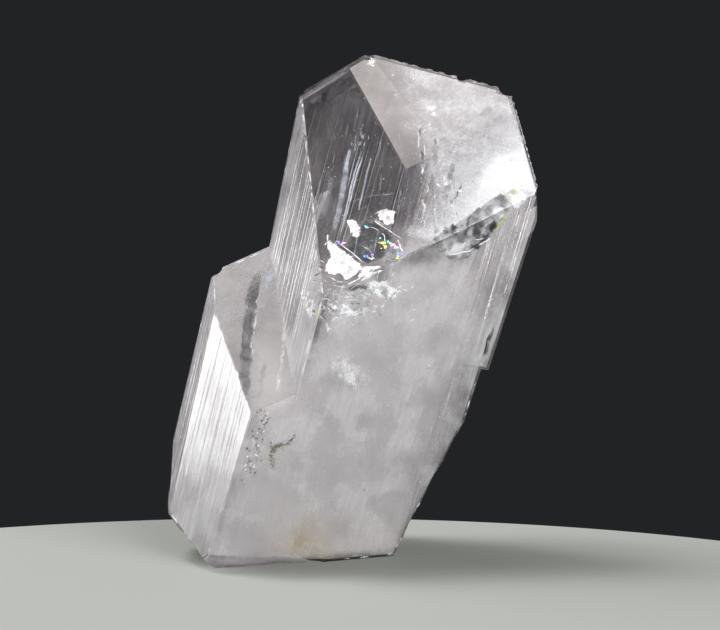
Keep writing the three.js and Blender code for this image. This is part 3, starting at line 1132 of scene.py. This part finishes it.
def shell_crack():
    """The curved, shell-like crack right under the edge of the front dome and front side. Its
    near-black marks are painted dark reflection, and its white ones partly frosted, partly a
    painted reflection of the lamps.
    """
    def at_depth(name):
        return just_under((11.4, -6.1, 43.6), ("front_dome", "front_side"), DEPTH[name])

    crack_sheet("crack_shell", at_depth("crack_shell"), """
    .11  -5,-4 -3.2,-5.1 -.9,-4.9 2.2,-3.4 6.2,1.2 6.5,2.6 6,4.3 4.6,4.4 1.6,2.9 -5.6,-2
    .7 .6 .22  -5.2,-2 -3.7,-1.2 -3.8,-2.1 -4.2,-3.5 -4.8,-2.8
    .5 .75 .38  -3.8,-1.1 -1.1,.4 1.6,2.5 3.2,3.3 4.2,2.2 3.6,.6 1.9,-1.6 .6,-2.8 -.9,-4.3
        -3.1,-4.4 -4.1,-3.4
    .7 .6 .7  -3.6,-3 -1.8,-2.4 0,-2.6 -.8,-3.8 -3,-4
    .35 .9 .06  -2.7,-.4 -2.2,-.4 -2.2,-1.5 -2.7,-1.5
    .25 .9 .05  -.75,.6 -.45,.6 -1,-1.5 -1.3,-1.4
    .5 .85 .08  -.2,-.1 .85,0 .5,-2.2 -.2,-2.2
    .35 .9 .04  .85,-1.5 1.7,-1.3 1.3,-2.3 .6,-2.5
    .35 .95 .03  1.65,-.1 2.25,.2 2.5,-.4 1.9,-1.2 1.5,-.8
    .3 .9 .08  -.6,-2.6 .6,-2.6 .4,-3.1 -.4,-3.2
    .5 .8 .75  2.2,1.5 2.8,1.7 3.3,1.3 3.1,.6 2.3,.6
    .6 .95 1  4,3.4 4.6,4 5.6,4.1 6,2.7 5.7,1.7 4.6,1.7 4.2,2.4
    """, (0.25, 0.5), crack_material("shell crack", feathers=0.45, size=0.0004, mirror=0.3),
                layered)
    strokes("crack_shell_lines", at_depth("crack_shell_lines"), """
    .32 1 1  -3.75,-3.9 -2.1,-3.6 -.75,-3.4 .1,-2.8
    .22 1 1  -3.1,-3.4 -2.4,-2.9 -1.8,-2.4
    .2 1 1  -2.4,-3.6 -1.6,-2.9 -.9,-2.1
    .18 1 1  -.4,-2.1 .6,-2 1.25,-1.8
    .24 1 1  .25,-2.8 1.25,-2.3 1.9,-1.6
    .26 .8 .9  -.9,-.8 -.75,-1.4
    .2 .8 .9  .9,.6 1.25,-.1 1.1,-.8
    .2 .7 .95  2.1,1.2 2.9,1.7 3.4,1.5
    .15 .7 .9  -3.25,-1.6 -2.9,-2.8
    .15 .9 .95  1.4,-.4 1.9,.1
    .3 .6 .15  -3,-4.5 -1.4,-4.3 -.1,-3.6
    .2 .7 .95  5.25,1.1 4.6,-.8
    .6 .35 .25  1.9,-4.4 1.6,-5.8 1.25,-7.1
    .5 .4 .2  -4.4,-3.4 -4.5,-4.6 -4.7,-5.6
    """, crack_material("shell crack lines", feathers=0.1, mirror=0.3, fray=0.4),
            step=0.15, wobble=0.12)
    glint = crack_material(
        "yellow green glint", light=(0.62, 0.80, 0.10), feathers=0.1, mirror=0.2, fray=0.3)
    strokes("crack_shell_glint", at_depth("crack_shell_glint"), """
    .26 1 .9  3.5,1.4 3.6,.6 2.75,-.4 1.9,-1.4
    .2 1 .9  3.5,3.3 4.1,2.2
    """, glint, step=0.15)
    return at_depth("films_shell")


def cracks():
    upper, lower, shell = upper_crack(), lower_crack(), shell_crack()
    film = rainbow_material()
    films("films_upper", upper, [
        (-.1, 3.4, .9, .5, .1, .75), (2.5, .3, 1.1, .17, .3, .85), (2.9, -.4, .8, .12, .1, .95),
        (3.7, 0, 1, .86, .15, .45), (4.2, -.6, .7, .92, .1, .3), (4.8, -1.6, .8, .58, .1, .85),
        (5, -2.7, 1, .14, .04, .95), (4.3, -3.3, .6, .06, .08, .85), (5.6, -3.4, .6, .6, .1, .85),
        (1.1, -2.2, 1.1, .6, .1, .85), (1.7, -2.6, .6, .22, .2, .5), (-2.3, .3, .9, .68, .15, .6),
        (-3.1, .6, .6, .62, .3, .8), (2, 1.2, .4, .45, .1, .7),
    ], film)
    films("films_lower", lower, [
        (-4.4, -1.3, .8, .03, .12, .45), (-3, -2, .6, .12, .06, .85),
        (-3.9, -2.1, .7, .95, .15, .3), (-3.5, -1.5, .5, .6, .1, .35),
        (-2.5, -1.5, .5, .58, .1, .3), (-4.2, -1.8, .5, .07, .1, .5),
    ], film)
    films("films_shell", shell, [(4.8, 3.5, 0.5, 0.14, 0.05, 0.95)], film)


# ---------- marks under the faces ----------


def needle(x, y, reach, lean):
    """The places of a slightly bent needle that runs down from its upper end."""
    return [(x, y), (x + lean[0] * reach, y - reach * 0.5), (x + lean[1] * reach, y - reach)]


def growth_streaks():
    """Fine pale needles under the front dome that follow the long axis, and its veins."""
    lines = drawn("""
    1.1 .3 .8  -7.4,30.6 -6.6,26.8 -5.8,23
    1 .5 .85  -7.3,35 -6,31.1 -4.8,26 -3.7,20.6
    .6 .6 1  -7,35.5 -6.5,33 -6,31.1
    .28 .85 .95  -5.6,36.5 -5,31.4 -2.8,20.1
    .26 .8 .95  -5.2,36 -4.7,31.5 -3.1,22.5
    .18 .55 .9  -6.3,37 -5.6,32.5 -4.8,28.1
    .3 .55 .9  -4.1,35.2 -3.6,31.9 -2.2,24.8
    .3 .35 .8  -4,26.7 -2.9,27.9 -1.7,28.8 0,29.5 1.4,30.7
    .18 .25 .8  -3,25.6 -1.5,27.2 .4,28.6
    """)
    for _ in range(14):
        x, y = between(-7.2, -5.4), between(35.5, 38.6)
        lines.append(([(x, y), (x + 0.25, y - 1.1)], 0.09, 0.8, 1.0))
    for _ in range(90):
        x, y = between(-9.5, 3.0), between(20, 42)
        if x <= np.interp(y, (22, 31, 41, 46), (6, 3, -2.5, -5)):
            places_of = needle(x, y, between(0.6, 5.0), (0.12, 0.22))
            lines.append((places_of, between(0.08, 0.2), between(0.12, 0.45), between(0.6, 0.95)))
    pale = crack_material(
        "growth streak", light=(0.86, 0.91, 1.0), feathers=0.2, mirror=0.0, fray=0.12)
    stand = kept_inside(stand_for("growth_streaks", DOME), LARGE, MARGIN["growth_streaks"])
    strokes("growth_streaks", stand, lines, pale, broken=0.35)

    veins = drawn("""
    .4 .8 .15  .2,42 .3,39.8 1.3,37.4 2.2,35.6 2.5,34
    1 .6 .2  5,43 5.2,41 5.3,39.4 6,35 6.5,31.9 7.4,28
    .6 .75 .12  5.1,41.6 5.2,40.2 5.4,38.6
    .9 .45 .2  4.6,41 4.8,39 5,37
    .9 .5 .2  2.5,40 3,38 3.4,36 5.1,30.1
    .5 .75 .15  2.4,39.8 2.7,38.4 2.9,37.2
    .9 .65 .15  3.2,34 4,31.1 4.8,27.2
    .7 .65 .15  4.6,33 5.3,29.9 6.2,26.6
    .9 .65 .15  5.6,30.5 6.6,27.4 7.8,24.6
    .6 .6 .15  7,29.5 8,26.8 9,24.8
    .35 .8 .08  7.9,34 7.7,31.4 7.4,29.4
    .6 .4 .2  6.3,33.6 7.6,30 8.8,26.9
    .4 .5 .95  3.6,32.6 4.6,29 5.6,25.2
    .35 .5 .95  5.4,31 6.2,28.6 7.2,25.8
    .3 .8 .2  .5,43.4 .9,44.6 1.2,45
    .5 .3 .2  3.6,39 6,39.2 8.6,38.6
    .35 .8 .95  4.3,33.8 4.9,32.6 5.9,32
    .35 .9 .95  2.4,35.2 2.6,34.2 2.9,33.4
    """)
    for _ in range(70):
        x, y = between(0.8, 9.0), between(25, 36)
        if x >= np.interp(y, (25, 31, 36), (5.5, 2.4, 0.8)):
            places_of = needle(x, y, between(0.5, 2.4), (0.17, 0.3))
            veins.append((places_of, between(0.1, 0.26), between(0.3, 0.75),
                          chance.choice((0.15, 0.3, 0.95, 1.0))))
    strokes("dome_veins", DOME, veins,
            crack_material("dome vein", feathers=0.3, mirror=0.0, fray=0.35),
            wobble=0.3, broken=0.7)


def bead_crack():
    """The short crack on the front dome that is beaded with light."""
    strokes("bead_crack", DOME, """
    .2 1 1  -.1,42.2 0,39.9 1,37.4 1.9,35.5
    .2 1 1  .6,41.4 .7,39.8 1.7,37.4 2.5,35.6
    """, crack_material("crack beads", feathers=0.1), step=0.15, wobble=0.2, broken=0.95)


def dome_rim_glare():
    """The frosty part of the front dome, with a painted glare that gets whiter towards its right
    corner.
    """
    outline = outline_on(*DOME, DEPTH["dome_rim_glare"], 0.12)
    outline = clipped(outline, Vector((3, 0)), Vector((-1, 0)))

    def paint(x, y):
        wave = 1.2 * ripple(x, y, 0.35, 2.0) + 0.6 * ripple(x, y, 1.1, 5.0)
        right = ramp(x + wave, y, (5.0, 44), (0.93, -0.2), 9)
        corner = blob(x + wave, y, (13.2, 37.2), (6.5, 4.5), 60)
        # The painted glare is dimmer below the bruised line over the shell-like crack.
        line = np.interp(
            x, (7.5, 8.5, 9.5, 10.3, 11.3, 12.5, 13.8), (24.4, 26.0, 27.6, 29.6, 31.4, 33.4, 35.2))
        above = 1 - 0.6 * ease((line - y) / 0.8)
        return min(0.95, 0.75 * right + 0.6 * corner) * above, 0.9 + 0.1 * right

    # Frosted, and painted white as glare towards the right corner.
    frosty = crack_material(
        "frosty rim with painted glare", dark=(0.5, 0.5, 0.51), feathers=0.15, size=0.0005, mirror=0.25, fray=0.2)
    painted_sheet("dome_rim_glare", DOME, outline, paint, frosty, "clouding", 0.25)


def bright_spots():
    """Small bruises and bright chips right under the front dome."""
    spots = [
        (-9.3, 49.2, 0.9, 1.0), (-4.7, 44.9, 0.28, 0.9), (-6.1, 48.0, 0.3, 0.9),
        (-3.3, 48.3, 0.5, 0.9), (0.2, 44.2, 0.8, 0.95), (0.9, 43.2, 0.6, 0.95),
        (-1.6, 47.0, 0.2, 0.8), (6.0, 33.0, 0.5, 0.9), (7.9, 32.4, 0.4, 0.9),
        (7.8, 29.9, 0.4, 0.9), (0.9, 41.6, 0.35, 0.9),
    ]
    for _ in range(260):
        x, y = between(-9, 15), between(20, 49)
        spots.append((x, y, between(0.04, 0.13), between(0.5, 1.0)))
    scatter("dome_spots", DOME, spots, crack_material("bright spot", feathers=0.1))


def bruised_and_highlit_edges(where, stand):
    """Short lines along the outline of a face, for bruises and painted highlights, but none in the
    other crystal, and none on the edge between the front dome and the front side, which is whole."""
    other = SMALL if where[0] is LARGE else LARGE
    lowest = 0.5 if where is SMALL_DOME else -99
    for here, there in looped(outline_on(*where, DEPTH["edge_bruises_and_highlights"], 0.16)):
        length = (there - here).length
        if length < 3:
            continue
        parts = max(2, round(length / 2.5))
        stops = [here.lerp(there, i / parts) for i in range(parts + 1)]
        for a, b in zip(stops, stops[1:]):
            middle = stand(*a.lerp(b, 0.5))
            depths = [under_plane(LARGE[side], middle) for _, side in (DOME, FRONT)]
            whole = where in (DOME, FRONT) and max(depths) < 0.6
            if a.y + b.y > 2 * lowest and not whole and not within(other, middle, -0.6):
                yield [a, b], between(0.12, 0.3), between(0.3, 0.95), 1.0


def edge_bruises_and_highlights():
    """Tiny bruises along the sharp edges, and the highlights that the edges catch, painted as
    broken bright lines right under them.
    """
    material = crack_material("edge bruise and highlight", feathers=0.3, size=0.0003, mirror=0.3)
    faces = (
        DOME, FRONT, (LARGE, "left_side"), (LARGE, "right_side"),
        SMALL_DOME, SMALL_LEFT, (SMALL, "narrow_side"), (SMALL, "back_side"),
    )
    for number, where in enumerate(faces, 1):
        stand = under_face(*where, DEPTH["edge_bruises_and_highlights"])
        strokes(f"edge_bruises_and_highlights_{number}", stand, list(bruised_and_highlit_edges(where, stand)), material,
                step=0.2, wobble=0.03, broken=0.9)


def side_streaks():
    """Streaks and lines along the sides of both crystals and on the small one's dome."""
    plain = crack_material("side streak", feathers=0.3, mirror=0.0, fray=0.2)
    # Their face and a box on it, then their number, widths, covers, tones and how far they
    # reach.
    sets = {
        "front_side": (FRONT, (-6, 33, 10, 44), 60, (0.15, 0.6), (0.08, 0.26),
                       (0.15, 0.2, 0.9), (2, 7)),
        "front_low": (FRONT, (-12, 2, 8, 28), 60, (0.3, 1.2), (0.05, 0.15),
                      (0.3, 0.9, 1.0), (2, 6)),
        "left_side": ((LARGE, "left_side"), (-9, 20, 9, 50), 50, (0.12, 0.45), (0.12, 0.4),
                      (0.25, 0.95, 1.0), (3, 12)),
        "small_left": (SMALL_LEFT, (-5, 2, 10, 24), 24, (0.12, 0.5), (0.1, 0.3),
                       (0.3, 0.95, 1.0), (3, 10)),
        "small_narrow": ((SMALL, "narrow_side"), (-8, 2, 8, 26), 40, (0.12, 0.4), (0.2, 0.6),
                         (0.3, 0.95, 1.0), (3, 12)),
    }
    for name, looks in sets.items():
        long_streaks(f"streaks_{name}", *looks, plain)

    stand = kept_inside(stand_for("small_dome_streaks", SMALL_DOME), SMALL, 0.21)
    strokes("small_dome_streaks", stand, """
    1.9 .8 .1  -13.7,20.4 -13.8,17.8 -12.6,13.4 -10.2,7 -7.7,.8 -5.6,-3.2
    .3 .7 .08  -14.2,18.6 -13.2,13.8 -10.9,7.4 -8.6,1.2
    .25 .7 .05  -13.2,17.2 -12.3,14.4 -11.6,12
    .35 .6 .8  -12.8,18.2 -12,14 -10,8.4 -8,3
    .2 .5 .7  -13.9,17 -13.1,13.6 -11.4,8.8
    .3 .7 .06  -12.2,12.6 -10.9,9.4 -9.4,5.4
    1 .2 .3  -10.6,17 -8.6,11.6 -6,5
    .8 .45 .28  -7,5.6 -5.8,1.4 -4.9,-2.6
    .6 .5 1  -10.4,20.4 -7.8,12.8 -4.8,4.6 -2.9,-1.8
    .3 .5 1  -9.4,21 -6.6,12.6 -3.8,4.2
    """, plain, wobble=0.3, broken=0.35)
    glow = crack_material(
        "blue film", light=(0.62, 0.70, 0.86), feathers=0.3, mirror=0.0, fray=0.3)
    strokes("small_dome_blue", SMALL_DOME, """
    1.1 .6 .9  -12.6,20.6 -12.3,18 -11.8,15.4
    """, glow)
    green = crack_material(
        "green tint", light=(0.52, 0.62, 0.20), feathers=0.2, mirror=0.0, fray=0.2)
    strokes("green_lines", SMALL_LEFT, """
    .55 .7 .9  -4.2,23.2 -4.7,21 -5.2,17.6
    .3 1 1  -4,23.8 -4.6,21.4 -5.2,18
    """, green)
    strokes("green_line_left", (LARGE, "left_side"), """
    .3 .6 .9  .6,40 1.4,37 2.6,33.6
    """, green)
    strokes("small_left_lines", SMALL_LEFT, """
    .35 .9 1  -5.1,18.4 -4.4,12 -3.5,3.4
    .3 .7 .25  -4.2,17.4 -3.5,11 -2.4,3
    .25 .7 1  -3.4,16 -2.8,10 -1.8,4
    """, plain)


def step_dark_line():
    """The dark line that ends at the step on the right."""
    strokes("step_dark_line", (SKIN, "front_side"), """
    .7 .85 .12  10.5,33.8 10.4,32 10.4,31 10.6,28.8
    .4 .9 .02  10.2,32.4 10.2,30.4 10.4,28.8
    """, crack_material("step dark line", feathers=0.6, size=0.0003, mirror=0.0),
            wobble=0.25, broken=0.3)


def near_path(path, spread_by):
    """A place a little off a random point of a path."""
    spot = chance.choice(path)
    return spot.x + chance.gauss(0, spread_by), spot.y + chance.gauss(0, spread_by)


def moss():
    """A small mossy inclusion: grains along a forked branch."""
    stand = stand_for("mossy_inclusion", FRONT)
    grains = [(x, y, 0.12) for x, y in places("-13.5,13.6 -13,14.1 -13.8,13.4")]
    # Each part of the branch is its number of grains and then its places.
    for points, count in drawn("""
    110  -13,11.4 -13.7,12.9 -13.35,14
    55  -14.4,14.5 -13.8,13.7 -13.4,13.9
    55  -13.5,13.4 -13.1,14.1 -12.9,14.4
    110  -13.35,14 -12.75,14.2 -12,14.7 -11.6,15.4
    """):
        path = stroke_path(points, 0.1, 0.2)
        grains += [(*near_path(path, 0.19), between(0.025, 0.09)) for _ in range(int(count))]
    bm = bmesh.new()
    for x, y, radius in grains:
        lump = bmesh.ops.create_icosphere(bm, subdivisions=1, radius=radius * MM)["verts"]
        middle = stand(x, y, between(-0.1, 0.1))
        for vert in lump:
            vert.co = middle + vert.co * between(0.6, 1.3)
    piece_from(bm, "mossy_inclusion", [moss_material()], "stain")


def frosty_cloud():
    """The frosty white cloud under the front side."""
    marks = drawn("""
    1.8 .4 .85  -10.2,25.2 -8.6,26.2 -6.4,25.8 -4.6,25 -3.8,23.6 -4.6,22.6 -5.6,21.6 -7,22.4
        -8,23.6 -9.6,24
    1.1 .5 1  -9.6,25.2 -8,25.6 -6.4,24.6 -5.4,23 -6.6,23 -8.2,24.2
    """)
    frosty = crack_material(
        "frosty cloud", dark=(0.45, 0.44, 0.45), feathers=0.5, size=0.00045, mirror=0.0, fray=0.4)
    painted_sheet("frosty_cloud", FRONT, places("-11.5,20.5 -2.8,20.5 -2.8,27.2 -11.5,27.2"),
                  lambda x, y: layered(marks, x, y, 0.7, 0.7), frosty, "clouding", 0.16)


def specks():
    """The bruised corner of the small crystal, and small specks under the front side."""
    path = stroke_path(places("-16.6,18.4 -16,16.4 -16.2,14.3 -15.8,10.7"), 0.2, 0.3)
    bruised = [
        (*near_path(path, 0.5), between(0.08, 0.24), chance.choice((0.05, 0.1, 0.2, 1.0)))
        for _ in range(110)
    ]
    scatter("corner_bruises", (SMALL, "front_side"), bruised,
            crack_material("corner bruise", feathers=0.3, mirror=0.0, fray=0.4))
    bright = [(-2.2, 35.6, 0.3, 1.0), (3.3, 26.8, 0.22, 1.0), (-1.0, 33.0, 0.15, 1.0)]
    for _ in range(90):
        bright.append((between(-13, 10), between(3, 44), between(0.04, 0.10), 1.0))
    scatter("body_specks_bright", FRONT, bright, crack_material("bright speck", feathers=0.1))
    scatter("body_specks_dark", FRONT, [
        (-13.2, 31.6, 0.2, 0.0), (-5.7, 22.7, 0.13, 0.2),
        (3.1, 26.5, 0.16, 0.1), (4.0, 27.2, 0.1, 0.1),
    ], crack_material("dark speck", feathers=0.1, mirror=0.0))
    brown = {"dark": (0.12, 0.08, 0.03), "light": (0.42, 0.28, 0.10)}
    scatter("body_specks_rusty", FRONT, [
        (3.4, 29.1, 0.14, 0.8), (2.0, 16.5, 0.15, 0.4),
        (-0.2, 10.7, 0.2, 0.3), (3.5, 26.6, 0.14, 0.6),
    ], crack_material("brown speck", feathers=0.3, mirror=0.0, **brown))


def stain():
    """A faint brown stain low on the front side."""
    patch = places("-8.4,5.6 -5.4,6.4 -2.4,5.2 -1.8,2.6 -3.4,1.2 -7,.8 -8.6,3")
    core = places("-7.6,4.4 -6.2,4.8 -5.4,3 -6.2,1.4 -7.6,2")

    def paint(x, y):
        wave = ripple(x, y, 0.6, 3.3)
        broad = ramp(x, y, (0, 12), (0, -1), 14) * 0.22
        marked = broad + 0.32 * inside(x + wave, y, patch, 3.0)
        return marked + 0.4 * inside(x + wave, y - wave, core, 1.6), 0.5

    material = haze_material(
        "brown stain", 0.25, 0.08, 0.0, (0.0005, 0.0004, 0.0015),
        ((0.40, 0.32, 0.20), (0.52, 0.46, 0.36)))
    outline = outline_on(*FRONT, DEPTH["brown_stain"], 0.3)
    outline = clipped(outline, Vector((0, 13)), Vector((0, 1)))
    painted_sheet("brown_stain", FRONT, outline, paint, material, "stain", 0.35)


# ---------- the stage ----------


def floor():
    bm = bmesh.new()
    bmesh.ops.create_circle(bm, cap_ends=True, segments=160, radius=FLOOR_RADIUS)
    disc = bmesh.ops.extrude_face_region(bm, geom=bm.faces[:])
    moved = [v for v in disc["geom"] if isinstance(v, bmesh.types.BMVert)]
    bmesh.ops.translate(bm, verts=moved, vec=(0, 0, -FLOOR_THICKNESS))
    bmesh.ops.translate(bm, verts=bm.verts, vec=FLOOR_MIDDLE)
    bmesh.ops.recalc_face_normals(bm, faces=bm.faces)
    table = object_from(bm, "floor")
    material, tree, shader = new_material("pale floor")
    join(tree, shader, {"Base Color": (0.48, 0.495, 0.46, 1), "Roughness": 0.75})
    table.data.materials.append(material)
    table.visible_transmission = False


def softbox(name, place, size, watts):
    light = bpy.data.lights.new(name, "AREA")
    light.shape = "RECTANGLE"
    light.size, light.size_y = size
    light.energy = watts
    lamp = in_scene(name, light)
    lamp.location = place
    lamp.rotation_mode = "QUATERNION"
    aim = Vector((0, 0, 0.03))
    lamp.rotation_quaternion = (aim - Vector(place)).to_track_quat("-Z", "Y")


def lights():
    softbox("left softbox", (-0.42, 0.10, 0.152), (0.40, 0.22), 1.45)
    softbox("right softbox", (0.26, -0.42, 0.20), (0.30, 0.30), 3.0)
    softbox("top softbox", (-0.134, 0.107, 0.44), (0.14, 0.14), 1.1)
    world = bpy.data.worlds.new("dark studio")
    bpy.context.scene.world = world
    world.use_nodes = True
    background = world.node_tree.nodes["Background"]
    background.inputs["Color"].default_value = (0.016, 0.0168, 0.0185, 1)


def camera():
    data = bpy.data.cameras.new("camera")
    data.sensor_width, data.lens, data.clip_start = 36, CAMERA_LENS, 0.01
    view = in_scene("camera", data)
    view.location = CAMERA_AT
    view.rotation_euler = (radians(CAMERA_TILT), 0, 0)
    bpy.context.scene.camera = view


def render_settings():
    bpy.context.scene.view_settings.view_transform = "Standard"
    cycles = bpy.context.scene.cycles
    cycles.max_bounces = cycles.transparent_max_bounces = 32
    cycles.transmission_bounces = 24
    cycles.glossy_bounces = 12
    cycles.caustics_refractive = cycles.caustics_reflective = False


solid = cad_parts[SPECIMEN].data
SOLID = BVHTree.FromPolygons([v.co for v in solid.vertices], [p.vertices for p in solid.polygons])
camera()
lights()
render_settings()
floor()
GRAIN = grain_group()
FRAY = fray_group()
crystal_shell()
clouding()
face_hazes()
cracks()
growth_streaks()
bead_crack()
dome_rim_glare()
bright_spots()
side_streaks()
step_dark_line()
edge_bruises_and_highlights()
moss()
frosty_cloud()
specks()
stain()
